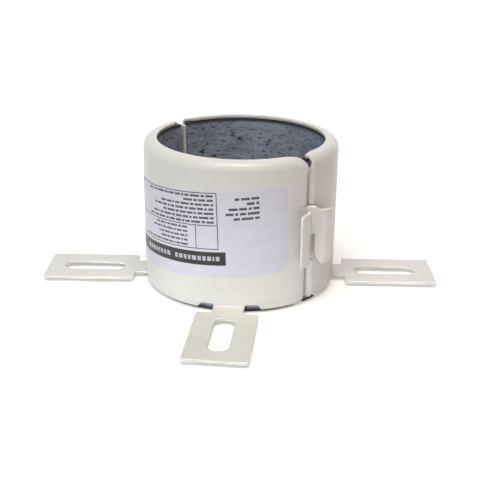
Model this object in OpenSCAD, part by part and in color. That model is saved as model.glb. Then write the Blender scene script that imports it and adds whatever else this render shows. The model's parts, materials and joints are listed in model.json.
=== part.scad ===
// Pipe fire collar: two folded sheet steel halves, each with a heat-swelling liner,
// that hook together round a plastic pipe and bolt to a slab by four slotted tabs.
// The origin is on the pipe's axis, level with the lower ends of the liners, and +Z runs along the pipe.
// The seams lie at -46.5 and 133.5 degrees, and the front half faces -X and -Y.

/* [Collar] */
// Outer diameter of the pipe that the collar fits
pipe_d = 55; // [50:1:75]
// Clearance between the pipe and the flange, all round
pipe_gap = 0.5; // [0.3:0.1:1.5]
// Width of the flange, from the pipe opening to the outer wall
flange_w = 4.5; // [4:0.5:7]
// Height from the lower ends of the liners to the top of the flange
collar_h = 50; // [48:1:70]
// Thickness of the coated sheet
sheet_t = 1.1; // [0.8:0.1:1.3]
// Outer radius of the rounded rim between wall and flange
rim_r = 3; // [2:0.25:3.5]
// Inside radius of the folds at the lips, hooks and tabs
fold_r = 0.7; // [0.5:0.1:1]
// How far the lower edge of the wall stays above the ends of the liners
wall_lift = 1.1; // [0.8:0.1:1.3]

/* [Seams] */
// Gap between the lips of the two halves
seam_gap = 0.8; // [0.6:0.1:1.4]
// Gap between the rims of the two halves
flange_gap = 2.4; // [2.2:0.2:3.4]
// Depth of the notch between the rims, from the top of the flange
vee_depth = 4; // [3.8:0.1:6]
// Height of the slanting part of that notch
vee_h = 1.9; // [1:0.1:2.2]
// Slant of the front flange's ends, away from the seam
front_mitre = 45; // [30:1:48]
// Slant of the rear flange's ends, towards the seam
rear_mitre = 22; // [8:1:22]
// Width of the rear flange at its ends
rear_end_w = 3; // [2.5:0.1:3.2]
// Slant of the clipped corners of the rear flange
corner_slant = 65; // [50:1:72]
// How far the front half's lips stay below the top of the flange
lip_drop = 2; // [1.6:0.1:3.5]
// Width of the relief at the foot of each seam, on each half
foot_w = 4.4; // [3.6:0.1:6]
// How far the lower ends of the lips stay above the wall's lower edge
lip_lift = 0.55; // [0.4:0.05:1]
// Distance from the seam to the peak of that relief
foot_peak = 2.8; // [2.4:0.1:3.2]
// Height of that peak in the rear half, over the wall's lower edge
foot_rise = 1.4; // [1:0.1:3]

/* [Clasp] */
// Height at which the stems of the two hooks meet
clasp_z = 24.2; // [20:0.2:26]
// Gap between the two stems
clasp_gap = 0.6; // [0.4:0.1:1]
// Reach of the hooks above that height
hook_up = 8.6; // [7:0.1:9]
// Reach of the hooks below that height
hook_down = 9.9; // [8:0.1:11]
// How far the upper stem stands above its hook
stem_over = 1.1; // [0.5:0.1:3]
// How much higher the rear hook's lower end is than the front hook's
rear_short = 0.8; // [0:0.1:1.5]
// Reach of each hook past the seam
hook_reach = 7; // [6:0.5:8]
// Height of the hook's outer face over the wall
hook_rise = 3.5; // [3:0.1:4]
// Slope of the hook's stem, from the wall
hook_angle = 38; // [34:1:44]
// Inside radius of the bend between stem and hook
hook_bend = 1; // [0.6:0.1:1.5]
// Distance from the seam to the root of each stem
hook_root = 1.3; // [1.2:0.1:1.6]
// Distance from the seam to the free edge of each hook
hook_free = 1.3; // [1.3:0.1:1.8]
// Corner radius of the hooks
hook_corner = 1.4; // [0.6:0.1:2]
// Length of the tapered lead at the tip of the upper hook
lead_h = 3.7; // [2:0.1:5]
// Width of that taper
lead_w = 1.6; // [1:0.1:2.5]
// Clearance cut in the lip above and below a stem
lip_relief = 0.3; // [0.2:0.1:1.2]

/* [Tabs] */
// Angle from a half's first seam to its first tab
first_tab = 46.5; // [40:0.5:55]
// Angle from a half's first seam to its second tab
second_tab = 131.5; // [125:0.5:140]
// Height of the tab's underside over the ends of the liners
tab_lift = 1; // [0:0.1:1.2]
// Width of the tab
tab_w = 20; // [16:1:22]
// Length of the tab's plate
tab_l = 31; // [27:1:40]
// Corner radius of the tab's plate
tab_corner = 0.9; // [0.5:0.1:2]
// Width of the neck between wall and plate
neck_w = 10; // [8:0.5:12]
// Length of the neck from the wall to the plate
neck_l = 3.9; // [3:0.1:6]
// Width of the slot, for a fixing screw
slot_w = 6.5; // [5:0.5:8]
// Length of the slot, end to end
slot_l = 21; // [12:1:23]
// Distance from the plate's inner edge to the slot
slot_inset = 4; // [2.5:0.5:4]
// Width of the relief in the wall beside a neck
relief_w = 4; // [2:0.5:4.5]
// Width of the slanting end of that relief
relief_slope = 1.2; // [0.5:0.1:2]

/* [Liner] */
// Clearance between liner and wall
liner_fit = 0.1; // [0.05:0.05:0.3]
// How far the liner's inner face stays behind the edge of the flange
liner_setback = 0.3; // [0.1:0.1:0.8]
// Clearance between liner and flange
liner_top_gap = 0.2; // [0.1:0.1:0.6]
// How deep the rear liner covers the rear half's lips
liner_cover = 1.6; // [1:0.1:1.8]
// Distance from the seam to the front liner's ends
liner_end = 3; // [2.4:0.1:3.6]

/* [Label] */
// Length of the label round the wall
label_l = 83; // [50:1:84]
// Height of the label
label_h = 28.5; // [15:0.5:30]
// Height of the label's middle over the ends of the liners
label_z = 24.8; // [22:0.1:26]
// Angle from the front half's first seam to the label's middle
label_turn = 91.5; // [88:0.5:92]
// How far out of level the label is stuck on
label_tilt = 6; // [0:0.5:7]
// Thickness of the label
label_t = 0.15; // [0.1:0.05:0.25]
// Corner radius of the label, seen square on to its middle
label_corner = 1.2; // [0.4:0.1:2]

/* [Hidden] */
$fn = 180;

// Directions of the two halves: each spans half a turn from its first seam
FRONT_TURN = 133.5;
REAR_TURN = -46.5;
CREAM = [0.86, 0.85, 0.80];
GRAPHITE = [0.27, 0.28, 0.31];
LABEL_WHITE = [0.83, 0.82, 0.87];
// Spare length by which a cut runs past what it cuts
past = 1;
// How far lips and hooks stay inside the faces of the wall that they grow out of
seat = 0.02;
// Largest gap between a bend and the flats that stand for it
chord = 0.004;

opening_r = pipe_d / 2 + pipe_gap;
wall_r = opening_r + flange_w;
liner_r = opening_r + liner_setback;
fold_out = fold_r + sheet_t;
fold_mid = fold_r + sheet_t / 2;
rim_z = collar_h - vee_depth;
vee_top = rim_z + vee_h;
lip_top = collar_h - lip_drop;
lip_foot = wall_lift + lip_lift;
foot_top = wall_lift + foot_rise;
tab_top = tab_lift + sheet_t;
relief_z = tab_top + fold_r;

// The lip's fold touches the wall and the seam plane
lip_y = seam_gap / 2 + fold_out;
lip_x = sqrt(pow(wall_r - fold_out, 2) - pow(lip_y, 2));
lip_angle = atan2(lip_y, lip_x);
lip_start = wall_r * sin(lip_angle);
back_angle = asin((lip_start + 2 * past) / wall_r);

// Rear lips end behind the rear liner
rear_lip_r = liner_r + liner_cover;

// Heights of the hooks and the lengths of the straight stretches in their section
hook_bottom = clasp_z - hook_down;
rear_bottom = hook_bottom + rear_short;
hook_top = clasp_z + hook_up;
stem_top = hook_top + stem_over;
upper_root = clasp_z + clasp_gap / 2;
lower_root = clasp_z - clasp_gap / 2;
root_angle = asin(hook_root / wall_r);
bend_out = hook_bend + sheet_t;
stem_l = (hook_rise - (fold_r + bend_out) * (1 - cos(hook_angle))) / sin(hook_angle);
stem_run = (fold_r + bend_out) * sin(hook_angle) + stem_l * cos(hook_angle);
hook_flat = hook_root + hook_reach - stem_run;

plate_x = wall_r + neck_l;

// A stretch of a flat ring between two angles
module ring_sector(r_in, r_out, from, to) {
    steps = 6;
    reach = 2 * r_out;
    rays = [for (i = [0:steps]) from + (to - from) * i / steps];
    intersection() {
        difference() {
            circle(r_out);
            circle(r_in);
        }
        polygon(concat([[0, 0]], [for (a = rays) reach * [cos(a), sin(a)]]));
    }
}

function ahead(p, heading, d) = p + d * [cos(heading), sin(heading)];
function beside(p, heading, d) = p + d * [-sin(heading), cos(heading)];
function flats(turn, r) = ceil(abs(turn) / (2 * acos(1 - chord / r)));

// Places and headings along the middle of a run of sheet.
// Each step is [0, length] for a straight, or [turn, middle radius] for a bend, with outward turns positive.
function stations(steps, p, heading, i = 0) =
    i == len(steps) ? [] :
    let (turn = steps[i][0], size = steps[i][1], n = turn == 0 ? 1 : flats(turn, size))
    let (pivot = beside(p, heading, sign(turn) * size))
    let (found = turn == 0 ? [[ahead(p, heading, size), heading]] :
        [for (k = [1:n]) let (h = heading + turn * k / n) [beside(pivot, h, -sign(turn) * size), h]])
    concat(found, stations(steps, found[n - 1][0], found[n - 1][1], i + 1));

// A run of sheet in plan that starts inside the wall, follows it to an angle and carries on in folds
module folded_run(angle, folds) {
    r = wall_r - sheet_t / 2;
    half_t = sheet_t / 2 - seat;
    from = [r * [cos(back_angle), sin(back_angle)], back_angle - 90];
    run = concat([from], stations(concat([[angle - back_angle, r]], folds), from[0], from[1]));
    outer = [for (at = run) beside(at[0], at[1], half_t)];
    inner = [for (i = [len(run) - 1:-1:0]) beside(run[i][0], run[i][1], -half_t)];
    polygon(concat(outer, inner));
}

// Children at a half's first seam, and mirrored at its second
module both_seams() {
    children();
    mirror([1, 0, 0])
        children();
}

// A cut or shape that runs radially through the wall at the first seam,
// from an outline whose X is the distance past the seam and whose Y is the height
module through_wall(depth, rise) {
    rotate([90, 0, -90])
        translate([0, 0, -wall_r - rise])
            linear_extrude(depth + rise)
                children();
}

// Wall of a half in plan, with both its ends folded in as lips
module wall_plan(upper) {
    ring_sector(wall_r - sheet_t, wall_r, lip_angle, 180 - lip_angle);
    both_seams()
        folded_run(lip_angle, [[-90 - lip_angle, fold_mid], [0, lip_x - (upper ? liner_r : rear_lip_r)]]);
}

// Upper end of a front lip, which stands past the rim's notch, inside the fold
module lip_tongue() {
    inset = 2 * seat;
    translate([liner_r + inset, seam_gap / 2 + inset, rim_z - past])
        cube([lip_x - liner_r - inset, sheet_t - 2 * inset, lip_top - rim_z + past]);
}

module rim_section() {
    translate([wall_r - sheet_t, rim_z])
        square([sheet_t, vee_depth - rim_r]);
    translate([wall_r - rim_r, collar_h - rim_r])
        ring_sector(rim_r - sheet_t, rim_r, 0, 90);
    translate([opening_r, collar_h - sheet_t])
        square([flange_w - rim_r, sheet_t]);
}

// Where the line through p that slants from the X axis comes nearest to the pipe's axis
function nearest(p, slant) = (p[0] * sin(slant) + p[1] * cos(slant)) * [sin(slant), cos(slant)];

// What the flange of a half loses at its first seam, in plan
module flange_end(upper) {
    edge = flange_gap / 2 + (upper ? seat : -seat);
    rear_corner = [wall_r - rear_end_w, edge - rear_end_w * tan(rear_mitre)];
    ends = upper ? [nearest([wall_r, edge], front_mitre)] : [rear_corner, nearest(rear_corner, corner_slant)];
    inside = ends[len(ends) - 1][0];
    polygon(concat([[inside, -wall_r], [wall_r + past, -wall_r], [wall_r + past, edge], [wall_r, edge]], ends));
}

// Rounded rim and flange, notched at the seams
module rim(upper) {
    notch = [[past, rim_z - past], [-seam_gap / 2, rim_z - past], [-seam_gap / 2, rim_z],
             [-flange_gap / 2, vee_top], [past, vee_top]];
    difference() {
        rotate_extrude()
            rim_section();
        both_seams() {
            through_wall(wall_r - opening_r + past, past)
                polygon(notch);
            translate([0, 0, vee_top - seat])
                linear_extrude(collar_h)
                    flange_end(upper);
        }
        translate([-wall_r - past, -2 * wall_r - seam_gap / 2, rim_z - past])
            cube([2 * wall_r + 2 * past, 2 * wall_r, collar_h]);
    }
}

// Opening in a lip that lets a stem out, between two heights
module lip_window(bottom, top) {
    through_wall(wall_r - liner_r + past, past)
        translate([-lip_start - lip_relief, bottom - lip_relief])
            square([lip_start + lip_relief + past, top - bottom + 2 * lip_relief]);
}

// Relief at the foot of a seam, where the lip's fold ends, with a peak in the rear half
module foot_relief(upper) {
    inner = upper ? [[-foot_peak, lip_foot]] : [[-fold_out, lip_foot], [-foot_peak, foot_top]];
    through_wall(wall_r - liner_r + past, past)
        polygon(concat([[past, wall_lift - past], [past, lip_foot]], inner,
                       [[-foot_w, wall_lift], [-foot_w, wall_lift - past]]));
}

// Relief in the wall's lower edge, on both sides of a neck
module neck_relief() {
    half = neck_w / 2 + relief_w;
    wide = half + relief_slope;
    through_wall(sheet_t + past, past)
        polygon([[-wide, wall_lift - past], [-wide, wall_lift], [-half, relief_z],
                 [half, relief_z], [wide, wall_lift], [wide, wall_lift - past]]);
}

// Outline of the front half's hook: a high stem, and a tapered finger that points down
module upper_hook_outline() {
    back = -lip_start - 2 * past;
    side = hook_reach - hook_corner;
    polygon([[back, upper_root], [hook_free, upper_root], [hook_free, hook_bottom + lead_h],
             [hook_free + lead_w, hook_bottom], [side, hook_bottom], [hook_reach, hook_bottom + hook_corner],
             [hook_reach, hook_top - hook_corner], [side, hook_top], [hook_free + stem_over, hook_top],
             [hook_free, stem_top], [back, stem_top]]);
    for (z = [hook_bottom + hook_corner, hook_top - hook_corner])
        translate([side, z])
            circle(hook_corner);
}

// Outline of the rear half's hook: a low stem, and a finger that points up
module lower_hook_outline() {
    back = -lip_start - 2 * past;
    side = hook_reach - hook_corner;
    polygon([[back, rear_bottom], [side, rear_bottom], [hook_reach, rear_bottom + hook_corner],
             [hook_reach, hook_top - hook_corner], [side, hook_top], [hook_free, hook_top],
             [hook_free, lower_root], [back, lower_root]]);
    for (z = [rear_bottom + hook_corner, hook_top - hook_corner])
        translate([side, z])
            circle(hook_corner);
}

// A hook at the first seam: the wall runs on past its lip, slopes out and lies over the other half
module hook(upper) {
    folds = [[hook_angle, fold_mid], [0, stem_l], [-hook_angle, hook_bend + sheet_t / 2], [0, hook_flat]];
    intersection() {
        translate([0, 0, hook_bottom])
            linear_extrude(stem_top - hook_bottom)
                folded_run(root_angle, folds);
        through_wall(sheet_t + past, hook_rise + past)
            if (upper)
                upper_hook_outline();
            else
                lower_hook_outline();
    }
}

module plate_plan() {
    flat_l = tab_l - 2 * tab_corner;
    flat_w = tab_w - 2 * tab_corner;
    translate([plate_x, -flat_w / 2])
        square([tab_l, flat_w]);
    translate([plate_x + tab_corner, -tab_w / 2])
        square([flat_l, tab_w]);
    for (x = [tab_corner, tab_l - tab_corner], y = [-flat_w / 2, flat_w / 2])
        translate([plate_x + x, y])
            circle(tab_corner);
}

module slot_plan() {
    straight = slot_l - slot_w;
    translate([plate_x + slot_inset + slot_w / 2, 0]) {
        circle(d = slot_w);
        translate([0, -slot_w / 2])
            square([straight, slot_w]);
        translate([straight, 0])
            circle(d = slot_w);
    }
}

// Section of a tab: down out of the wall, round the fold and outwards
module tab_section() {
    translate([wall_r - sheet_t, relief_z])
        square([sheet_t, past]);
    translate([wall_r + fold_r, relief_z])
        ring_sector(fold_r, fold_out, 180, 270);
    translate([wall_r + fold_r, tab_lift])
        square([neck_l + tab_l, sheet_t]);
}

// Plan of a tab along +X, with its neck running back through the wall
module tab_plan() {
    difference() {
        union() {
            translate([wall_r - sheet_t - past, -neck_w / 2])
                square([sheet_t + past + neck_l + tab_corner, neck_w]);
            plate_plan();
        }
        slot_plan();
    }
}

// A tab at an angle, folded out of the wall's lower edge on its neck
module tab(angle) {
    intersection() {
        rotate_extrude()
            tab_section();
        rotate(angle)
            linear_extrude(collar_h)
                tab_plan();
    }
}

// One folded half, from its first seam at angle 0 to its second at angle 180
module half_shell(upper) {
    root_low = upper ? upper_root : rear_bottom;
    root_high = upper ? stem_top : lower_root;
    difference() {
        union() {
            translate([0, 0, wall_lift])
                linear_extrude(rim_z - wall_lift)
                    wall_plan(upper);
            rim(upper);
            if (upper)
                both_seams()
                    lip_tongue();
        }
        both_seams() {
            lip_window(root_low, root_high);
            foot_relief(upper);
        }
        for (a = [first_tab, second_tab])
            rotate(a)
                neck_relief();
    }
    both_seams()
        hook(upper);
    for (a = [first_tab, second_tab])
        tab(a);
}

// Section of a liner, rounded at the top to lie inside the rim
module liner_section() {
    liner_h = collar_h - sheet_t - liner_top_gap;
    corner = rim_r - sheet_t - liner_fit;
    round_r = wall_r - rim_r;
    translate([liner_r, 0])
        square([round_r + corner - liner_r, liner_h - corner]);
    translate([liner_r, liner_h - corner])
        square([round_r - liner_r, corner]);
    translate([round_r, liner_h - corner])
        intersection() {
            circle(corner);
            square(corner);
        }
}

// Everything on the far side of a plane parallel to the seams, between two heights
module beyond(y, low, high) {
    translate([-wall_r, y - 2 * wall_r, low])
        cube([2 * wall_r, 2 * wall_r, high - low]);
}

// Liner of the front half, which stops short of its lips and further back at its foot
module short_liner() {
    difference() {
        rotate_extrude()
            liner_section();
        beyond(liner_end, foot_top, collar_h);
        beyond(foot_w, -past, foot_top);
    }
}

// Liner of the rear half, which covers its lips up to the seams, with toes under them
module long_liner() {
    difference() {
        rotate_extrude()
            liner_section();
        beyond(0, -past, collar_h);
        difference() {
            beyond(lip_y, lip_foot - liner_fit, collar_h);
            cylinder(r = rear_lip_r - liner_fit, h = collar_h);
        }
    }
}

module front_shell() {
    color(CREAM)
        rotate(FRONT_TURN)
            half_shell(true);
}

module rear_shell() {
    color(CREAM)
        rotate(REAR_TURN)
            half_shell(false);
}

module front_liner() {
    color(GRAPHITE)
        rotate(FRONT_TURN)
            short_liner();
}

module rear_liner() {
    color(GRAPHITE)
        rotate(REAR_TURN)
            long_liner();
}

// Outline of the label seen square on to its middle, with sloping edges and upright ends
module label_outline(half_w) {
    x = half_w - label_corner;
    z = label_h / 2 - label_corner / cos(label_tilt);
    corners = [for (c = [[x, z], [-x, z], [-x, -z], [x, -z]]) [c[0], c[1] + c[0] * tan(label_tilt)]];
    reach = label_corner * [-sin(label_tilt), cos(label_tilt)];
    side = [label_corner, 0];
    polygon([corners[0] + side, corners[0] + reach, corners[1] + reach, corners[1] - side,
             corners[2] - side, corners[2] - reach, corners[3] - reach, corners[3] + side]);
    for (c = corners)
        translate(c)
            circle(label_corner);
}

// Printed label, wrapped round the front half
module label() {
    face_r = wall_r + label_t;
    spread = label_l / wall_r * 180 / PI;
    color(LABEL_WHITE)
        rotate(FRONT_TURN + label_turn)
            intersection() {
                rotate(-90)
                    rotate_extrude(angle = 180)
                        translate([wall_r, 0])
                            square([label_t, collar_h]);
                translate([0, 0, label_z])
                    rotate([90, 0, 90])
                        linear_extrude(face_r + past)
                            label_outline(face_r * sin(spread / 2));
            }
}

front_shell();
rear_shell();
front_liner();
rear_liner();
label();
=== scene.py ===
"""Looks of the pipe fire collar: two folded halves of coated sheet, their graphite liners and a label."""

import json
from math import acos, asin, atan2, ceil, copysign, cos, hypot, pi, radians, sin, sqrt, tan

import bpy
from mathutils import Matrix, Vector, kdtree, noise
from mathutils.geometry import delaunay_2d_cdt

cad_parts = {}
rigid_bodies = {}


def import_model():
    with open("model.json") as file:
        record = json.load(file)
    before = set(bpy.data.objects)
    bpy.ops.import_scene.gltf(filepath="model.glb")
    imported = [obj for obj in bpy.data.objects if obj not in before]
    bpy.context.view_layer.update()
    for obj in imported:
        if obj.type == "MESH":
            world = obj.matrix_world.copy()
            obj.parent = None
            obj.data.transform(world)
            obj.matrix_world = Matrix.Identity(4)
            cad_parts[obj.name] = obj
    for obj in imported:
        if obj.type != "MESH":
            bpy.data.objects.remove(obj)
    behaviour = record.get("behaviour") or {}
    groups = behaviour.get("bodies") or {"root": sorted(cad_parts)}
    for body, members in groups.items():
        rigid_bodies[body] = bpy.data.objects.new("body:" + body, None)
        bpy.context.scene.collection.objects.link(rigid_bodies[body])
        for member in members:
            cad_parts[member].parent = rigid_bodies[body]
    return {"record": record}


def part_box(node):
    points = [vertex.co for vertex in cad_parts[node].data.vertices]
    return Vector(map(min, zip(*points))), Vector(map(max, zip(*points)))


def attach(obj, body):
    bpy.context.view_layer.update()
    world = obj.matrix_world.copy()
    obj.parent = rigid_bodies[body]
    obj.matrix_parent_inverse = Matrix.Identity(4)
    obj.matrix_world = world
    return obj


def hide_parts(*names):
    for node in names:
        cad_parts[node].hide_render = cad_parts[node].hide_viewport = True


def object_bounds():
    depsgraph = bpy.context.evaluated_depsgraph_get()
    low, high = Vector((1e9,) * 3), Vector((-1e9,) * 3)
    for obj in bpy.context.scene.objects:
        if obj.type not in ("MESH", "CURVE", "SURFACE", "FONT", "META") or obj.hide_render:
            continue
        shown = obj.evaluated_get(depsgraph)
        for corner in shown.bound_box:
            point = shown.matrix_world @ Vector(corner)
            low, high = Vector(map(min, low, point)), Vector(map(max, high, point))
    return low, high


for leftover in list(bpy.data.objects):
    bpy.data.objects.remove(leftover)
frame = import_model()
cad_box = [list(corner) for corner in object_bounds()]

MM = 0.001
mounts = {mount["name"]: mount for mount in frame["record"]["mounts"]}
slot_dims = mounts["side_slots"]["dims"]

# Directions of the two halves: each spans half a turn from its first seam
FRONT_TURN = radians(133.5)
REAR_TURN = radians(-46.5)

# Sheet, wall, rim and flange
SHEET_T = 1.1 * MM
HALF_T = SHEET_T / 2
SHEET_EDGE = 0.3 * MM
COLLAR_H = cad_box[1][2]
OPENING_R = mounts["pipe_opening"]["dims"]["r_mm"] * MM
WALL_R = OPENING_R + 4.5 * MM
MID_R = WALL_R - HALF_T
RIM_R = 3 * MM
RIM_MID = RIM_R - HALF_T
FOLD_R = 0.7 * MM
FOLD_MID = FOLD_R + HALF_T
FOLD_OUT = FOLD_R + SHEET_T
WALL_LIFT = 1.1 * MM

# Seams: gap of the folded lips, wider gap of the flanges, and the notch between them
SEAM_GAP = 0.8 * MM
FLANGE_GAP = 2.4 * MM
RIM_Z = COLLAR_H - 4 * MM
OPEN_Z = RIM_Z - 1.4 * MM
VEE_TOP = RIM_Z + 1.9 * MM
FRONT_MITRE = radians(45)
REAR_MITRE = radians(22)
REAR_END_W = 3 * MM
CORNER_SLANT = radians(65)
LIP_TOP = COLLAR_H - 2 * MM
FOOT_W = 4.4 * MM
FOOT_PEAK = 2.8 * MM
FOOT_TOP = WALL_LIFT + 1.4 * MM
LIP_FOOT = WALL_LIFT + 0.55 * MM
LINER_R = OPENING_R + 0.3 * MM
REAR_LIP_R = LINER_R + 1.6 * MM
LIP_Y = SEAM_GAP / 2 + FOLD_OUT
LIP_X = sqrt((WALL_R - FOLD_OUT) ** 2 - LIP_Y ** 2)
LIP_ANGLE = atan2(LIP_Y, LIP_X)
LIP_RELIEF = 0.3 * MM
SLIT_Y = WALL_R * sin(LIP_ANGLE) + LIP_RELIEF

# Hooks: heights, and the outline as distances past the seam
CLASP_Z = 24.2 * MM
CLASP_GAP = 0.6 * MM
HOOK_BOTTOM = CLASP_Z - 9.9 * MM
HOOK_TOP = CLASP_Z + 8.6 * MM
REAR_BOTTOM = HOOK_BOTTOM + 0.8 * MM
STEM_OVER = 1.1 * MM
HOOK_REACH = 7 * MM
HOOK_FREE = 1.3 * MM
HOOK_CORNER = 1.4 * MM
LEAD_H = 3.7 * MM
LEAD_W = 1.6 * MM
HOOK_RISE = 3.5 * MM
HOOK_SLOPE = radians(38)
HOOK_BEND = 1 * MM
HOOK_ROOT = 1.3 * MM
ROOT_ANGLE = asin(HOOK_ROOT / WALL_R)
BENDS_OUT = FOLD_R + HOOK_BEND + SHEET_T
STEM_L = (HOOK_RISE - BENDS_OUT * (1 - cos(HOOK_SLOPE))) / sin(HOOK_SLOPE)
STEM_RUN = BENDS_OUT * sin(HOOK_SLOPE) + STEM_L * cos(HOOK_SLOPE)

# Tabs, in plan along +X
TAB_ANGLES = (radians(46.5), radians(131.5))
TAB_W = 20 * MM
TAB_L = 31 * MM
TAB_CORNER = 0.9 * MM
NECK_W = 10 * MM
PLATE_X = WALL_R + 3.9 * MM
TAB_LIFT = 1 * MM
RELIEF_Z = TAB_LIFT + FOLD_OUT
RELIEF_W = 4 * MM
RELIEF_SLOPE = 1.2 * MM
NECK_REACH = NECK_W / 2 + RELIEF_W / 4
SLOT_R = slot_dims["hole_r_mm"] * MM
SLOT_L = slot_dims["slot_length_mm"] * MM
SLOT_X = slot_dims["spacing_x_mm"] * MM / 2

# Folds after the wall's end, as (turn, middle radius) or (0, length), with outward turns positive
LIP_FOLDS = [(-pi / 2 - LIP_ANGLE, FOLD_MID), (0, LIP_X - LINER_R)]
HOOK_FOLDS = [(HOOK_SLOPE, FOLD_MID), (0, STEM_L), (-HOOK_SLOPE, HOOK_BEND + HALF_T),
              (0, HOOK_ROOT + HOOK_REACH - STEM_RUN)]

# The flat pattern of a half: u runs along the wall from its first seam, v up the wall and over the rim.
# What lies past the start of the lips is drawn narrower than it is, which keeps lips clear of the hooks.
HALF_U = MID_R * pi
LIP_U = MID_R * LIP_ANGLE
HOOK_U = MID_R * ROOT_ANGLE
LIP_SQUEEZE = 0.6
RIM_V = COLLAR_H - RIM_R
FLANGE_V = RIM_V + RIM_MID * pi / 2
END_V = FLANGE_V + WALL_R - RIM_R - OPENING_R
SMALL_CORNER = 0.4 * MM
PLATE_SLACK = 0.04 * MM
OUTLINE_STEP = 0.4 * MM
FIELD_STEP = 0.8 * MM
ARC_PARTS = 8
FLANGE_PARTS = 24
LIP_SLIT = 0.04 * MM
LEAST_FOLD = 0.03
NORMAL_STEP = 0.02 * MM
COARSE = 1.5 * MM
OPENING_STEP = COARSE / 6
FLANGE_STEP = COARSE / 3
TURN_STEP = radians(9)
NEARLY_STRAIGHT = radians(89)
MOST_OF_SIDE = 0.49
HALVINGS = 40
EDGE_TURNS = (30, 60, 90)
CLEAR_OF_EDGE = 1.5
MERGE_DISTANCE = 1e-9

# Liners: sizes of the pits and grain in their faces
LINER_FIT = 0.1 * MM
LINER_OUT = WALL_R - SHEET_T - LINER_FIT
LINER_END = 3 * MM
LINER_PARTS = 120
LINER_EDGE = 0.35 * MM
LINER_STEP = 0.45 * MM
PIT_L = 2.4 * MM
PIT_H = 0.8 * MM
PIT_DEPTH = 0.55 * MM
GRAIN = 0.9 * MM
GRAIN_DEPTH = 0.05 * MM
PIT_FROM = 0.3
BREAK_SIZE = 4
BREAK_SHARE = 0.5
BREAK_SEED = 7
SMOOTH_ANGLE = radians(50)

# Heights at which the graphite is darkened with painted shade, at its foot under the wall and under the rim
SHADE_LOW = 1 * MM
SHADE_HIGH = 48 * MM
SHADE_FADE = 0.8 * MM

# Label: its size, its slope and the places of its print, from its middle
LABEL_TURN = radians(91.5)
LABEL_L = 83 * MM
LABEL_H = 28.5 * MM
LABEL_T = 0.15 * MM
LABEL_EDGE = LABEL_T / 3
LABEL_CORNER = 2.6 * MM
LABEL_Z = 24.8 * MM
LABEL_RISE = 0.082
LABEL_LEAN = 0.04
INK, GREY_INK, PALE_INK = 1, 2, 3
LINE_W = 0.28 * MM
LABEL_STEP = 1 * MM
FRAME_LEFT, FRAME_CELL, FRAME_RIGHT = -38 * MM, 11.8 * MM, 19.1 * MM
FRAME_BOTTOM, FRAME_SPLIT, FRAME_TOP = -4.48 * MM, 3.32 * MM, 13.88 * MM
BAND_BOTTOM, BAND_TOP, BAND_RIGHT = -9.98 * MM, -5.48 * MM, 21.4 * MM
SIDE_RIGHT = 32.3 * MM
BAND_WORDS = ((19.4 * MM, (1.2, 0.5, 1.3, 1.1, 1.2, 1.5, 1.0, 1.1, 1.4, 1.2)),
              (1.2 * MM, (1.5, 1.1, 1.2, 0.7, 1.1, 1.4, 1.7, 1.7)))
WORD_Z, WORD_H, WORD_GAP = 1.5 * MM, 1.5 * MM, 0.5 * MM
BAR_LENGTHS = (3.4, 1.8, 4.6, 2.4, 1.2, 3.0)
BAR_GAP = 0.6
UPPER_ROWS = [length * MM for length in (27, 25, 19, 24, 18, 8, 26)]
UPPER_INSET, UPPER_FROM, UPPER_STEP, UPPER_H = 1 * MM, 0.7 * MM, 1.42 * MM, 0.7 * MM
LOWER_ROWS = [length * MM for length in (22, 9, 13, 16, 12)]
LOWER_INSET, LOWER_FROM, LOWER_STEP, LOWER_H = 3 * MM, 0.7 * MM, 1.45 * MM, 0.6 * MM
LOWER_FIRST = 2
SIDE_ROWS = [length * MM for length in (8.4, 8.6, 8.6, 3.4, 7.6)]
SIDE_FROM, SIDE_STEP, SIDE_H = 4.9 * MM, 1.6 * MM, 0.8 * MM
SIDE_FIRST = 1

# Colours, in linear light
CREAM = (0.665, 0.65, 0.62, 1)
CREAM_PALE = (0.70, 0.685, 0.655, 1)
# Painted highlight for the sheet's edges
CREAM_EDGE_HIGHLIGHT = (0.79, 0.77, 0.72, 1)
SPECK = (0.16, 0.15, 0.13, 1)
GRAPHITE_DARK = (0.165, 0.188, 0.24, 1)
GRAPHITE_PALE = (0.37, 0.415, 0.52, 1)
GRAPHITE_GRAIN = (0.46, 0.51, 0.61, 1)
# Painted shade for the graphite's foot and for the band under the rim
GRAPHITE_SHADE = (0.028, 0.029, 0.034, 1)
# Painted shade inside the pits
GRAPHITE_PIT_SHADE = (0.012, 0.013, 0.018, 1)
# Painted glint of the graphite's flakes
FLAKE_GLINT = (0.72, 0.74, 0.76, 1)
FILM = (0.60, 0.59, 0.68, 1)
FILM_PALE = (0.64, 0.63, 0.71, 1)
BLACK = (0.012, 0.011, 0.015, 1)
BLACK_PALE = (0.022, 0.020, 0.026, 1)
GREY = (0.045, 0.042, 0.052, 1)
GREY_PALE = (0.09, 0.085, 0.10, 1)
ASH = (0.40, 0.39, 0.43, 1)
ASH_PALE = (0.47, 0.46, 0.50, 1)

# Finishes: scales of the noise per metre, its ranges, depths of the bump, and roughness from smooth to rough.
# The coat stays rougher than 0.28, because the renderer's noise filter makes blotches where it crosses 0.275.
NOISE_LOW, NOISE_HIGH = 0.3, 0.7
PATCH_SCALE, PATCH_LOW, PATCH_HIGH = 55, 0.35, 0.65
PEEL_SCALE = 420
PEEL_DEPTH = 0.002 * MM
COAT_ROUGH = (0.285, 0.32)
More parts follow.
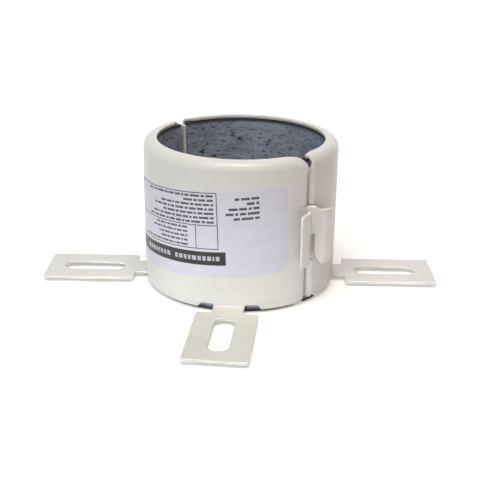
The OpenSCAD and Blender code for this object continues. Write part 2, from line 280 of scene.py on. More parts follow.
# How much of the painted edge highlight is mixed in
EDGE_HIGHLIGHT_SHARE = 0.6
SPECK_SCALE, SPECK_FROM, SPECK_SIZE = 85, 0.9, 0.028
LAYERS = (1, 1, 3.2)
CLOUD_SCALE = 130
GRAIN_SCALE = 900
GRAIN_LOW, GRAIN_HIGH, GRAIN_SHARE = 0.45, 0.75, 0.5
PIT_SCALE, PIT_LOW, PIT_HIGH = 430, 0.59, 0.64
FLAKE_SCALE, FLAKE_FROM, FLAKE_SIZE = 110, 0.955, 0.05
GRAPHITE_ROUGH = (0.48, 0.66)
GRAPHITE_RELIEF = 0.2 * MM
MOTTLE_SCALE = 420
WAVE_SCALE = 70
WAVE_DEPTH = 0.08 * MM
FILM_ROUGH = (0.30, 0.42)
INK_ROUGH = (0.28, 0.40)
FLOOR_SCALE = 3
FLOOR_ROUGH = 0.9

# Camera, fitted to the photograph's outlines, and studio
IMAGE_PX = 480
FOCAL_PX = 910.4
SENSOR = 36
CAMERA_AT = Vector((5.09, -294.56, 129.3)) * MM
CAMERA_DOWN = radians(21.63)
CAMERA_ROLL = radians(-0.63)
AMBIENT = 0.02
FLOOR_R = 4
FLOOR = (0.80, 0.80, 0.80, 1)
FLOOR_PALE = (0.84, 0.84, 0.84, 1)
FLOOR_GLOW = 0.34
FADE_FROM, FADE_TO = 0.09, 0.5
FLOOR_SIDES = 64

# Lamps: azimuth and elevation in degrees, distance, width and height, level, and colour
LAMPS = {
    "crown": (-80, 78, 0.9, (0.45, 0.45), 0.60, (1.0, 0.93, 0.72)),
    "key": (-128, 68, 0.9, (0.45, 0.45), 0.33, (0.80, 0.94, 1.0)),
    "left": (-140, 14, 1.0, (0.5, 0.5), 0.10, (0.55, 0.75, 1.0)),
    "front": (-100, 30, 1.0, (0.55, 0.55), 0.14, (1.0, 0.82, 0.70)),
    "right": (-5, 30, 0.7, (0.22, 0.22), 0.05, (1.0, 0.42, 0.50)),
    "back": (90, 45, 0.9, (0.55, 0.55), 0.16, (0.60, 0.52, 1.0)),
}

# Narrow beams that light the foot of the wall more than its top
BEAMS = {
    "foot_left": (-125, 6, 1.0, (0.6, 0.1), 0.0082, (0.96, 1.0, 0.90)),
    "foot_front": (-85, 6, 1.0, (0.6, 0.1), 0.0042, (0.74, 0.80, 1.0)),
}
BEAM_AIM = -25 * MM
BEAM_SPREAD = radians(6)


def heading_of(angle):
    return Vector((cos(angle), sin(angle)))


def left_of(angle):
    return Vector((-sin(angle), cos(angle)))


def polar(r, angle, z):
    return Vector((r * cos(angle), r * sin(angle), z))


def run_length(folds):
    return sum(abs(turn) * size if turn else size for turn, size in folds)


def follow(angle, folds, distance):
    """Place and outward direction, in plan, at a distance along folds that leave the wall at an angle."""
    place = MID_R * heading_of(angle)
    heading = angle - pi / 2
    for turn, size in folds:
        length = abs(turn) * size if turn else size
        part = min(distance, length)
        if turn:
            reach = copysign(size, turn)
            pivot = place + reach * left_of(heading)
            heading += turn * part / length
            place = pivot - reach * left_of(heading)
        else:
            place = place + part * heading_of(heading)
        distance -= part
    return place, left_of(heading)


def arc_u(y):
    """Where the wall lies a distance y from the plane of a seam or a tab, in the flat pattern."""
    return MID_R * asin(y / MID_R)


def seam_u(y, r=MID_R):
    """The same near a seam, drawn narrower past the start of the lip."""
    u = MID_R * asin(y / r)
    return u if u > LIP_U else LIP_U - LIP_SQUEEZE * (LIP_U - u)


def hook_u(past_seam):
    """Where a hook lies a distance past the seam, in the flat pattern."""
    low, high = 0, run_length(HOOK_FOLDS)
    for _ in range(HALVINGS):
        middle = (low + high) / 2
        if follow(ROOT_ANGLE, HOOK_FOLDS, middle)[0].y > -past_seam:
            low = middle
        else:
            high = middle
    return HOOK_U - low


FOLDED_U = LIP_U - LIP_SQUEEZE * run_length(LIP_FOLDS[:1])
LIP_END_U = LIP_U - LIP_SQUEEZE * run_length(LIP_FOLDS)
REAR_LIP_U = LIP_END_U + LIP_SQUEEZE * (REAR_LIP_R - LINER_R)
PEAK_U = LIP_U - LIP_SQUEEZE * FOLD_MID * asin((LIP_Y - FOLD_OUT) / FOLD_MID)
FINGER_U = (LIP_END_U + hook_u(HOOK_FREE)) / 2


def hook_window(upper):
    """Heights between which a hook's stem leaves the wall."""
    if upper:
        return CLASP_Z + CLASP_GAP / 2, HOOK_TOP + STEM_OVER
    return REAR_BOTTOM, CLASP_Z - CLASP_GAP / 2


def rim_at(v):
    """Radius, height and tilt of the sheet at a place up the wall, round the rim and along the flange."""
    bend = (v - RIM_V) / RIM_MID
    if bend <= 0:
        return MID_R, v, 0
    if bend <= pi / 2:
        return WALL_R - RIM_R + RIM_MID * cos(bend), RIM_V + RIM_MID * sin(bend), bend
    return WALL_R - RIM_R - (v - FLANGE_V), RIM_V + RIM_MID, pi / 2


def tab_at(v):
    """Radius, height and tilt of the sheet at a place down a neck and out along its tab."""
    bend = (RELIEF_Z - v) / FOLD_MID
    if bend <= pi / 2:
        return WALL_R + FOLD_R - FOLD_MID * cos(bend), RELIEF_Z - FOLD_MID * sin(bend), bend
    return WALL_R + FOLD_R + RELIEF_Z - v - FOLD_MID * pi / 2, RELIEF_Z - FOLD_MID, pi / 2


def tab_uv(tab_angle, x, y):
    """Place in the flat pattern of a place in a tab's plan."""
    v = RELIEF_Z - FOLD_MID * pi / 2 - (hypot(x, y) - WALL_R - FOLD_R)
    return MID_R * tab_angle + arc_u(y), v


def flange_line(upper):
    """Where the flange of a half ends, in plan: distances along the seam's plane and from it."""
    edge = FLANGE_GAP / 2
    inside = OPENING_R - SHEET_T
    if upper:
        return [(WALL_R, edge), (inside, edge + (WALL_R - inside) * tan(FRONT_MITRE))]
    corner_x = WALL_R - REAR_END_W
    corner_y = edge - REAR_END_W * tan(REAR_MITRE)
    return [(WALL_R, edge), (corner_x, corner_y),
            (inside, corner_y + (corner_x - inside) * tan(CORNER_SLANT))]


def flange_corners(upper):
    """Corners of the flange's end in the flat pattern, from the rim to the opening."""
    top_bend = asin((VEE_TOP - COLLAR_H + RIM_R) / RIM_R)
    largest = WALL_R - RIM_R + RIM_MID * cos(top_bend)
    corners = []
    line = [Vector(spot) for spot in flange_line(upper)]
    for here, there in zip(line, line[1:]):
        for spot in (here.lerp(there, k / FLANGE_PARTS) for k in range(FLANGE_PARTS)):
            r = spot.length
            if not OPENING_R < r < largest:
                continue
            past_rim = r - WALL_R + RIM_R
            v = RIM_V + RIM_MID * acos(past_rim / RIM_MID) if past_rim > 0 else FLANGE_V - past_rim
            corners.append((seam_u(MID_R * spot.y / r), v, 0))
    end_u = corners.pop()[0]
    return corners + [(end_u, END_V, SMALL_CORNER)]


def lip_place(v, past_lip):
    """Place and outward direction of a lip: its fold opens out towards the rim."""
    folded = max(0, min(1, (RIM_Z - v) / (RIM_Z - OPEN_Z)))
    turn, size = LIP_FOLDS[0]
    share = max(LEAST_FOLD, folded * folded * (3 - 2 * folded))
    place, out = follow(LIP_ANGLE, [(turn * share, size / share), LIP_FOLDS[1]], past_lip)
    return Vector((*place, v)), Vector((*out, 0))


def opening_lip(v, past_lip):
    """Place and outward direction of a lip where its fold opens, so that it leans with its height."""
    place = lip_place(v, past_lip)[0]
    across = lip_place(v, past_lip + NORMAL_STEP)[0] - place
    rise = place - lip_place(v - NORMAL_STEP, past_lip)[0]
    return place, rise.cross(across).normalized()


def fold_seam(u, v, upper):
    """Folds a place near the first seam: on the wall, a lip or a hook."""
    low, high = hook_window(upper)
    in_window = low - LIP_RELIEF / 2 < v < high + LIP_RELIEF / 2
    past_lip = (LIP_U - u) / LIP_SQUEEZE
    if u < HOOK_U and (in_window or u < FINGER_U):
        place, out = follow(ROOT_ANGLE, HOOK_FOLDS, HOOK_U - u)
    elif u < FOLDED_U and v < (LIP_TOP + LIP_SLIT if upper else RIM_Z) and not in_window:
        place, out = follow(LIP_ANGLE, LIP_FOLDS, past_lip)
    elif u < LIP_U and v < RIM_Z and not in_window:
        return opening_lip(v, past_lip) if v > OPEN_Z else lip_place(v, past_lip)
    else:
        r, z, tilt = rim_at(v)
        angle = (u if u > LIP_U or in_window else LIP_U - past_lip) / MID_R
        return polar(r, angle, z), polar(cos(tilt), angle, sin(tilt))
    return Vector((*place, v)), Vector((*out, 0))


def fold_half(u, v, upper):
    """Place and outward normal of the middle of the sheet, from a place in the flat pattern."""
    for tab_angle in TAB_ANGLES:
        across = u - MID_R * tab_angle
        near_neck = abs(across) < NECK_REACH
        if abs(across) < TAB_W and v < RELIEF_Z and (near_neck or v < 0):
            r, z, tilt = tab_at(v)
            angle = tab_angle + asin(MID_R * sin(across / MID_R) / r)
            return polar(r, angle, z), polar(cos(tilt), angle, sin(tilt))
    if u <= HALF_U / 2:
        return fold_seam(u, v, upper)
    place, normal = fold_seam(HALF_U - u, v, upper)
    place.x, normal.x = -place.x, -normal.x
    return place, normal


def rounded(corners):
    """A closed outline from corners (x, y, radius), with arcs for its corners."""
    outline = []
    for i, (x, y, radius) in enumerate(corners):
        here = Vector((x, y))
        before = Vector(corners[i - 1][:2]) - here
        after = Vector(corners[(i + 1) % len(corners)][:2]) - here
        half = before.angle(after) / 2
        if not radius or half > NEARLY_STRAIGHT:
            outline.append(here)
            continue
        reach = min(radius / tan(half), MOST_OF_SIDE * before.length, MOST_OF_SIDE * after.length)
        before.normalize()
        after.normalize()
        centre = here + (before + after).normalized() * reach / cos(half)
        start = here + reach * before - centre
        end = here + reach * after - centre
        sweep = start.angle_signed(end)
        for k in range(ARC_PARTS + 1):
            arm = start.copy()
            arm.rotate(Matrix.Rotation(-sweep * k / ARC_PARTS, 2))
            outline.append(centre + arm)
    return outline


def spaced(outline, step):
    """A closed outline with more points, so that none are further apart than a step."""
    points = []
    for here, there in zip(outline, outline[1:] + outline[:1]):
        parts = ceil((there - here).length / step)
        points += [here.lerp(there, k / parts) for k in range(parts)]
    return points


def hook_corners(upper):
    """Corners of a hook, from the lower side of its stem to the upper side."""
    low, high = hook_window(upper)
    slit = seam_u(SLIT_Y)
    inner = hook_u(HOOK_FREE)
    tip = hook_u(HOOK_REACH)
    slit_r = LIP_RELIEF / 2
    bottom = HOOK_BOTTOM if upper else REAR_BOTTOM
    outer = [(tip, bottom, HOOK_CORNER), (tip, HOOK_TOP, HOOK_CORNER)]
    if upper:
        lead = [(inner, low, SMALL_CORNER), (inner, HOOK_BOTTOM + LEAD_H, SMALL_CORNER),
                (hook_u(HOOK_FREE + LEAD_W), HOOK_BOTTOM, SMALL_CORNER)]
        shoulder = [(hook_u(HOOK_FREE + STEM_OVER), HOOK_TOP, SMALL_CORNER), (inner, high, SMALL_CORNER)]
        outer = lead + outer + shoulder
    else:
        outer = outer + [(inner, HOOK_TOP, SMALL_CORNER), (inner, high, SMALL_CORNER)]
    return [(slit, low, slit_r)] + outer + [(slit, high, slit_r)]


def seam_corners(upper):
    """Corners of the pattern's first side, upwards: foot, lower lip, hook, upper lip, notch and flange."""
    low, high = hook_window(upper)
    slit = seam_u(SLIT_Y)
    slit_r = LIP_RELIEF / 2
    lip_end = LIP_END_U if upper else REAR_LIP_U
    peak = [(seam_u(FOOT_PEAK), LIP_FOOT, 2 * SMALL_CORNER)]
    if not upper:
        peak = [(seam_u(FOOT_PEAK), FOOT_TOP, SMALL_CORNER), (PEAK_U, LIP_FOOT, SMALL_CORNER)]
    corners = [
        (seam_u(FOOT_W), WALL_LIFT, 2 * SMALL_CORNER),
        *peak,
        (lip_end, LIP_FOOT, SMALL_CORNER),
        (lip_end, low - LIP_RELIEF, SMALL_CORNER),
        (slit, low - LIP_RELIEF, slit_r),
        *hook_corners(upper),
        (slit, high + LIP_RELIEF, slit_r),
        (lip_end, high + LIP_RELIEF, SMALL_CORNER),
    ]
    if upper:
        corners += [(lip_end, LIP_TOP, SMALL_CORNER), (FOLDED_U - LIP_SLIT, LIP_TOP, SMALL_CORNER),
                    (FOLDED_U - LIP_SLIT, OPEN_Z, 0)]
    else:
        corners += [(lip_end, OPEN_Z, 0)]
    corners += [(FOLDED_U + LIP_SLIT, OPEN_Z, 0), (seam_u(SEAM_GAP / 2), RIM_Z, 0)]
    return corners + flange_corners(upper)


def tab_corners(tab_angle):
    """Corners of the pattern's lower edge at a tab, from left to right."""
    half = NECK_W / 2
    far = PLATE_X + TAB_L
    plan = [(PLATE_X, -half, SMALL_CORNER), (PLATE_X, -TAB_W / 2, TAB_CORNER), (far, -TAB_W / 2, TAB_CORNER),
            (far, TAB_W / 2, TAB_CORNER), (PLATE_X, TAB_W / 2, TAB_CORNER), (PLATE_X, half, SMALL_CORNER),
            (WALL_R, half, 0), (WALL_R, -half, 0)]
    neck_end = PLATE_X - SMALL_CORNER - PLATE_SLACK
    plate = [p for p in spaced(rounded(plan), OUTLINE_STEP) if p.x > neck_end]
    middle_u = MID_R * tab_angle
    relief = [(half + RELIEF_W + RELIEF_SLOPE, WALL_LIFT), (half + RELIEF_W, RELIEF_Z), (half, RELIEF_Z)]
    left = [(middle_u - arc_u(y), v, SMALL_CORNER) for y, v in relief]
    right = [(middle_u + arc_u(y), v, SMALL_CORNER) for y, v in reversed(relief)]
    return left + [(*tab_uv(tab_angle, p.x, p.y), 0) for p in plate] + right


def half_outline(upper):
    """Outline of a half's flat pattern."""
    lower = [corner for tab_angle in TAB_ANGLES for corner in tab_corners(tab_angle)]
    left = seam_corners(upper)
    right = [(HALF_U - u, v, r) for u, v, r in left]
    return spaced(rounded(lower + right + left[::-1]), OUTLINE_STEP)


def slot_outline(tab_angle):
    """Outline of the slot in a tab, in the flat pattern."""
    near, far = SLOT_X - SLOT_L / 2, SLOT_X + SLOT_L / 2
    plan = rounded([(near, -SLOT_R, SLOT_R), (near, SLOT_R, SLOT_R),
                    (far, SLOT_R, SLOT_R), (far, -SLOT_R, SLOT_R)])
    return [Vector(tab_uv(tab_angle, p.x, p.y)) for p in spaced(plan, OUTLINE_STEP)]


def steps(start, end, largest):
    """Even steps from start to end."""
    count = ceil((end - start) / largest)
    return [start + (end - start) * k / count for k in range(count + 1)]


def grid(us, vs):
    return [Vector((u, v)) for u in us for v in vs]


def half_spots():
    """Inner points of a half's flat pattern, close together where the sheet bends."""
    stem_u = HOOK_U - run_length(HOOK_FOLDS[:1])
    over_u = HOOK_U - run_length(HOOK_FOLDS[:2])
    flat_u = HOOK_U - run_length(HOOK_FOLDS[:3])
    tip_u = HOOK_U - run_length(HOOK_FOLDS)
    hook_us = (steps(stem_u, HOOK_U, FOLD_MID * TURN_STEP) + steps(over_u, stem_u, COARSE)
               + steps(flat_u, over_u, HOOK_BEND * TURN_STEP) + steps(tip_u, flat_u, COARSE))
    lip_us = steps(FOLDED_U, LIP_U, LIP_SQUEEZE * FOLD_MID * TURN_STEP)
    seam = (grid(lip_us, steps(RELIEF_Z, OPEN_Z, COARSE) + steps(OPEN_Z, RIM_Z, OPENING_STEP))
            + grid(hook_us, steps(HOOK_BOTTOM, HOOK_TOP + STEM_OVER, COARSE)))
    spots = seam + [Vector((HALF_U - spot.x, spot.y)) for spot in seam]
    spots += grid(steps(LIP_U, HALF_U - LIP_U, COARSE), steps(RELIEF_Z, RIM_V, COARSE))
    rim_vs = steps(RIM_V, FLANGE_V, RIM_MID * TURN_STEP) + steps(FLANGE_V, END_V, FLANGE_STEP)
    spots += grid(steps(seam_u(SEAM_GAP), HALF_U - seam_u(SEAM_GAP), COARSE), rim_vs)
    plate_v = RELIEF_Z - run_length([(pi / 2, FOLD_MID)])
    for tab_angle in TAB_ANGLES:
        middle_u = MID_R * tab_angle
        neck_us = [middle_u + arc_u(y) for y in steps(-NECK_W / 2, NECK_W / 2, COARSE)]
        spots += grid(neck_us, steps(plate_v, RELIEF_Z, FOLD_MID * TURN_STEP))
        plate_us = [middle_u + arc_u(y) for y in steps(-TAB_W / 2, TAB_W / 2, COARSE)]
        spots += grid(plate_us, steps(plate_v - TAB_L - FOLD_MID, plate_v, COARSE))
    return spots


def folded_sheet(name, loops, spots, fold, half_t, edge_r, fields=()):
    """A closed sheet with rounded edges: its flat outlines are filled with triangles and then folded.

    The first loop is the outline and the others are holes. Fields are rectangles (u0, v0, u1, v1, slot) that
    take another material slot on the outer face."""
    flat, borders = [], []
    for loop in loops:
        borders.append(range(len(flat), len(flat) + len(loop)))
        flat += loop
    edges = [(k, border[(i + 1) % len(border)]) for border in borders for i, k in enumerate(border)]
    tree = kdtree.KDTree(len(flat))
    for k, place in enumerate(flat):
        tree.insert((*place, 0), k)
    tree.balance()
    flat += [spot for spot in spots if tree.find((*spot, 0))[2] > CLEAR_OF_EDGE * edge_r]
    for u0, v0, u1, v1, _ in fields:
        corners = [Vector(corner) for corner in ((u0, v0), (u1, v0), (u1, v1), (u0, v1))]
        field = spaced(corners, FIELD_STEP)
        edges += [(len(flat) + k, len(flat) + (k + 1) % len(field)) for k in range(len(field))]
        flat += field
    inside = 1
    spots, _, faces, origins, _, _ = delaunay_2d_cdt(flat, edges, [], inside, MERGE_DISTANCE)
    faces = [face for face in faces if not any(holds(hole, middle_of(face, spots)) for hole in loops[1:])]
    folded = [fold(*spot) for spot in spots]
    index = {origin: k for k, found in enumerate(origins) for origin in found}

    outwards = {}
    rings = [[index[k] for k in border] for border in borders]
    for ring in rings:
        for i, k in enumerate(ring):
            along = folded[ring[(i + 1) % len(ring)]][0] - folded[ring[i - 1]][0]
            outwards[k] = along.cross(folded[k][1]).normalized()

    places, normals, edge = [], [], []
    for side in (1, -1):
        for k, (place, normal) in enumerate(folded):
            inset = edge_r * outwards[k] if k in outwards else Vector()
            places.append(place + side * half_t * normal - inset)
            normals.append(side * normal)
            edge.append(0.0)
    count = len(folded)
    quarter = [(sin(radians(turn)), cos(radians(turn))) for turn in EDGE_TURNS]
    profile = [(*arm, 1) for arm in quarter] + [(*arm, -1) for arm in reversed(quarter)]
    polygons = [tuple(face) for face in faces]
    slots = [field_slot(face, spots, fields) for face in faces]
    polygons += [tuple(k + count for k in reversed(face)) for face in faces]
    for ring in rings:
        rows = []
        for k in ring:
            place, normal = folded[k]
            row = [k]
            for out, up, side in profile:
                row.append(len(places))
                rise = side * (half_t - edge_r + edge_r * up)
                places.append(place + edge_r * (out - 1) * outwards[k] + rise * normal)
                normals.append(out * outwards[k] + side * up * normal)
                edge.append(1.0)
            rows.append(row + [k + count])
        for row, after in zip(rows, rows[1:] + rows[:1]):
            polygons += [(row[j], row[j + 1], after[j + 1], after[j]) for j in range(len(row) - 1)]

    mesh = bpy.data.meshes.new(name)
    mesh.from_pydata(places, [], polygons, shade_flat=False)
    for polygon, slot in zip(mesh.polygons, slots):
        polygon.material_index = slot
    mesh.attributes.new("edge", "FLOAT", "POINT").data.foreach_set("value", edge)
    mesh.normals_split_custom_set_from_vertices(normals)
    return link(name, mesh)


def middle_of(face, spots):
    return sum((spots[k] for k in face), Vector((0, 0))) / len(face)


def holds(loop, place):
    """Whether a closed outline goes round a place."""
    turns = sum((here - place).angle_signed(there - place) for here, there in zip(loop, loop[1:] + loop[:1]))
    return abs(turns) > pi


def field_slot(face, spots, fields):
    """Material slot of a flat triangle: that of the last field that holds its middle."""
    middle = middle_of(face, spots)
    slot = 0
    for u0, v0, u1, v1, field in fields:
        if u0 < middle.x < u1 and v0 < middle.y < v1:
            slot = field
    return slot


def link(name, mesh):
    piece = bpy.data.objects.new(name, mesh)
    bpy.context.scene.collection.objects.link(piece)
    return piece


def half_shell(name, upper, turn):
    """One folded half, turned to its place."""
    loops = [half_outline(upper)] + [slot_outline(tab_angle) for tab_angle in TAB_ANGLES]
    shell = folded_sheet(name, loops, half_spots(), lambda u, v: fold_half(u, v, upper), HALF_T, SHEET_EDGE)
    shell.data.transform(Matrix.Rotation(turn, 4, "Z"))
    return shell


def pit_depth(along, z, seed):
    """How deep the liner's face is at a place: flat pits in layers, and a fine grain."""
    layers = noise.noise(Vector((along / PIT_L, z / PIT_H, seed)))
    breaks = noise.noise(Vector((along / (BREAK_SIZE * PIT_L), z / (BREAK_SIZE * PIT_H), seed + BREAK_SEED)))
    grain = noise.noise(Vector((along, z, seed * MM)) / GRAIN)
    return PIT_DEPTH * max(0, layers + BREAK_SHARE * breaks - PIT_FROM) + GRAIN_DEPTH * (1 + grain)


def liner_band(corners, end, seed):
    """Places and faces of a half ring with a section of rounded corners, cut flat before the seams."""
    section = spaced(rounded(corners), LINER_STEP)
    places = []
    for i in range(LINER_PARTS + 1):
        for r, z in section:
            first = asin(end / r)
            angle = first + (pi - 2 * first) * i / LINER_PARTS
            if r < LINER_R + LINER_EDGE / 2:
                r += pit_depth(r * angle, z, seed)
            places.append(polar(r, angle, z))
    count = len(section)
    faces = []
    for start in range(0, LINER_PARTS * count, count):
        for k in range(count):
            after = (k + 1) % count
            faces.append((start + k, start + count + k, start + count + after, start + after))
    faces += [tuple(range(count)), tuple(LINER_PARTS * count + k for k in reversed(range(count)))]
    return places, faces


def liner_bands(upper):
    """Sections of a liner and how far each ends from the seams: the rear one covers its lips and has toes."""
    low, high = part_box("front_liner")[0].z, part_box("front_liner")[1].z
    foot = FOOT_TOP if upper else LIP_FOOT - LINER_FIT
    below = [(LINER_R, low, LINER_EDGE), (LINER_OUT, low, LINER_EDGE),
             (LINER_OUT, foot, 0), (LINER_R, foot, 0)]
    top_r = LINER_OUT - WALL_R + RIM_R
    if upper:
        above = [(LINER_R, foot, 0), (LINER_OUT, foot, 0),
                 (LINER_OUT, high, top_r), (LINER_R, high, LINER_EDGE)]
        return [(below, FOOT_W), (above, LINER_END)]
    cover = REAR_LIP_R - LINER_FIT
    inner = [(LINER_R, foot, 0), (cover, foot, 0), (cover, high, 0), (LINER_R, high, LINER_EDGE)]
    outer = [(cover, foot, 0), (LINER_OUT, foot, 0), (LINER_OUT, high, top_r), (cover, high, 0)]
    return [(below, 0), (inner, 0), (outer, LIP_Y)]


def liner_block(name, upper, turn, seed):
    """Half ring of graphite material, with pits in its inner face."""
    places, faces = [], []
    for corners, end in liner_bands(upper):
        band, shape = liner_band(corners, end, seed)
        faces += [tuple(k + len(places) for k in face) for face in shape]
        places += band
    mesh = bpy.data.meshes.new(name)
    mesh.from_pydata(places, [], faces, shade_flat=False)
    mesh.set_sharp_from_angle(angle=SMOOTH_ANGLE)
    mesh.transform(Matrix.Rotation(turn, 4, "Z"))
    return link(name, mesh)


def fold_label(u, v):
    """Wraps a place on the label round the middle of the front half, with its lines rising to the right."""
    angle = FRONT_TURN + LABEL_TURN + (u - LABEL_LEAN * v) / WALL_R
    return polar(WALL_R + LABEL_T / 2, angle, LABEL_Z + v + LABEL_RISE * u), polar(1, angle, 0)


def frame_lines(u0, v0, u1, v1):
    """A frame of thin lines."""
    half = LINE_W / 2
    return [(u0, v0 - half, u1, v0 + half, INK), (u0, v1 - half, u1, v1 + half, INK),
            (u0 - half, v0 - half, u0 + half, v1 + half, INK),
            (u1 - half, v0 - half, u1 + half, v1 + half, INK)]


def bars(right, v, length, height, first):
    """Bars in place of a line of print, from right to left, starting with one of several lengths."""
    row, u, k = [], right, first
    while u > right - length:
        width = BAR_LENGTHS[k % len(BAR_LENGTHS)] * height
        row.append((u - width, v, u, v + height, GREY_INK))
        u -= width + BAR_GAP * height
        k += 1
    return row


def label_fields():
    """Print on the label as rectangles: a band, a frame in three parts, and rows of bars."""
    fields = frame_lines(FRAME_LEFT, FRAME_BOTTOM, FRAME_RIGHT, FRAME_TOP)
    fields += [(FRAME_LEFT, FRAME_SPLIT - LINE_W / 2, FRAME_RIGHT, FRAME_SPLIT + LINE_W / 2, INK),
               (FRAME_CELL - LINE_W / 2, FRAME_BOTTOM, FRAME_CELL + LINE_W / 2, FRAME_SPLIT, INK),
               (FRAME_LEFT, BAND_BOTTOM, BAND_RIGHT, BAND_TOP, INK)]
    for k, length in enumerate(UPPER_ROWS):
        v = FRAME_SPLIT + UPPER_FROM + UPPER_STEP * k
        fields += bars(FRAME_RIGHT - UPPER_INSET, v, length, UPPER_H, k)
    for k, length in enumerate(LOWER_ROWS):
        v = FRAME_BOTTOM + LOWER_FROM + LOWER_STEP * k
        fields += bars(FRAME_CELL - LOWER_INSET, v, length, LOWER_H, k + LOWER_FIRST)
    for k, length in enumerate(SIDE_ROWS):
        fields += bars(SIDE_RIGHT, SIDE_FROM + SIDE_STEP * k, length, SIDE_H, k + SIDE_FIRST)
    for right, widths in BAND_WORDS:
        for width in widths:
            left = right - width * MM
            fields.append((left, BAND_BOTTOM + WORD_Z, right, BAND_BOTTOM + WORD_Z + WORD_H, PALE_INK))
            right = left - WORD_GAP
    return fields


def label_sheet(name):
    """The printed label: a thin film with rounded corners."""
    half_l, half_h = LABEL_L / 2, LABEL_H / 2
    outline = spaced(rounded([(-half_l, -half_h, LABEL_CORNER), (half_l, -half_h, LABEL_CORNER),
                              (half_l, half_h, LABEL_CORNER), (-half_l, half_h, LABEL_CORNER)]), OUTLINE_STEP)
    spots = grid(steps(-half_l, half_l, LABEL_STEP), steps(-half_h, half_h, LABEL_STEP))
    return folded_sheet(name, [outline], spots, fold_label, LABEL_T / 2, LABEL_EDGE, label_fields())


def add_node(tree, kind, inputs=None, **settings):
    """A node with its settings, and its inputs as constants or as the sockets that feed them."""
    made = tree.nodes.new(kind)
    for name, value in settings.items():
        setattr(made, name, value)
    for name, value in (inputs or {}).items():
        if isinstance(value, bpy.types.NodeSocket):
            tree.links.new(value, made.inputs[name])
        else:
            made.inputs[name].default_value = value
    return made


def mixed(tree, factor, first, second):
    """Colour between two colours."""
    colour, a, b = 2, 6, 7
    return add_node(tree, "ShaderNodeMix", {0: factor, a: first, b: second}, data_type="RGBA").outputs[colour]


def ranged(tree, value, low, high, to_low, to_high):
    """A value taken from one range to another and held inside it."""
    inputs = {"Value": value, "From Min": low, "From Max": high, "To Min": to_low, "To Max": to_high}
    return add_node(tree, "ShaderNodeMapRange", inputs).outputs["Result"]


def patchy(tree, value, low=0, high=1):
    """A noise value taken to a range."""
    return ranged(tree, value, NOISE_LOW, NOISE_HIGH, low, high)


def spots_of(tree, place, channel, scale, rare, size, below, above):
    """One colour with a few round spots of another: cells are picked by chance and given a size."""
    cells = add_node(tree, "ShaderNodeTexVoronoi", {"Vector": place, "Scale": scale})
    pick = add_node(tree, "ShaderNodeSeparateColor", {"Color": cells.outputs["Color"]}).outputs[channel]
    reach = ranged(tree, pick, rare, 1, 0, size)
    inputs = {0: cells.outputs["Distance"], 1: reach}
    spot = add_node(tree, "ShaderNodeMath", inputs, operation="LESS_THAN").outputs[0]
    return mixed(tree, spot, below, above)


def noise_of(tree, vector, scale, detail=2.0, roughness=0.5):
    inputs = {"Vector": vector, "Scale": scale, "Detail": detail, "Roughness": roughness}
    return add_node(tree, "ShaderNodeTexNoise", inputs).outputs["Fac"]


def new_material(name, **constants):
    """A material's node tree, its shader with some constants, and its object coordinates."""
    material = bpy.data.materials.new(name)
    material.use_nodes = True
    tree = material.node_tree
    shader = tree.nodes["Principled BSDF"]
    for key, value in constants.items():
        shader.inputs[key.replace("_", " ")].default_value = value
    place = add_node(tree, "ShaderNodeTexCoord").outputs["Object"]
    return material, tree, shader, place


def dress(tree, shader, colour, roughness, height, depth):
    """Feeds a shader its colour, its roughness and a bump of a depth in metres."""
    bump = add_node(tree, "ShaderNodeBump", {"Height": height, "Distance": depth}).outputs["Normal"]
    for name, socket in (("Base Color", colour), ("Roughness", roughness), ("Normal", bump)):
        tree.links.new(socket, shader.inputs[name])


def coated_steel():
    """Cream powder coat: soft orange peel, faint patches, a painted highlight that makes its edges paler,
    with a few dark specks.
    """
    material, tree, shader, place = new_material("coated_steel")
    patches = noise_of(tree, place, PATCH_SCALE, detail=4)
    peel = noise_of(tree, place, PEEL_SCALE, detail=1)
    cream = mixed(tree, ranged(tree, patches, PATCH_LOW, PATCH_HIGH, 0, 1), CREAM, CREAM_PALE)
    edge = add_node(tree, "ShaderNodeAttribute", attribute_name="edge").outputs["Fac"]
    # Paler at the sheet's edges: a painted highlight where the edges catch the light.
    cream = mixed(tree, ranged(tree, edge, 0, 1, 0, EDGE_HIGHLIGHT_SHARE), cream, CREAM_EDGE_HIGHLIGHT)
    colour = spots_of(tree, place, "Red", SPECK_SCALE, SPECK_FROM, SPECK_SIZE, cream, SPECK)
    dress(tree, shader, colour, patchy(tree, peel, *COAT_ROUGH), peel, PEEL_DEPTH)
    return material


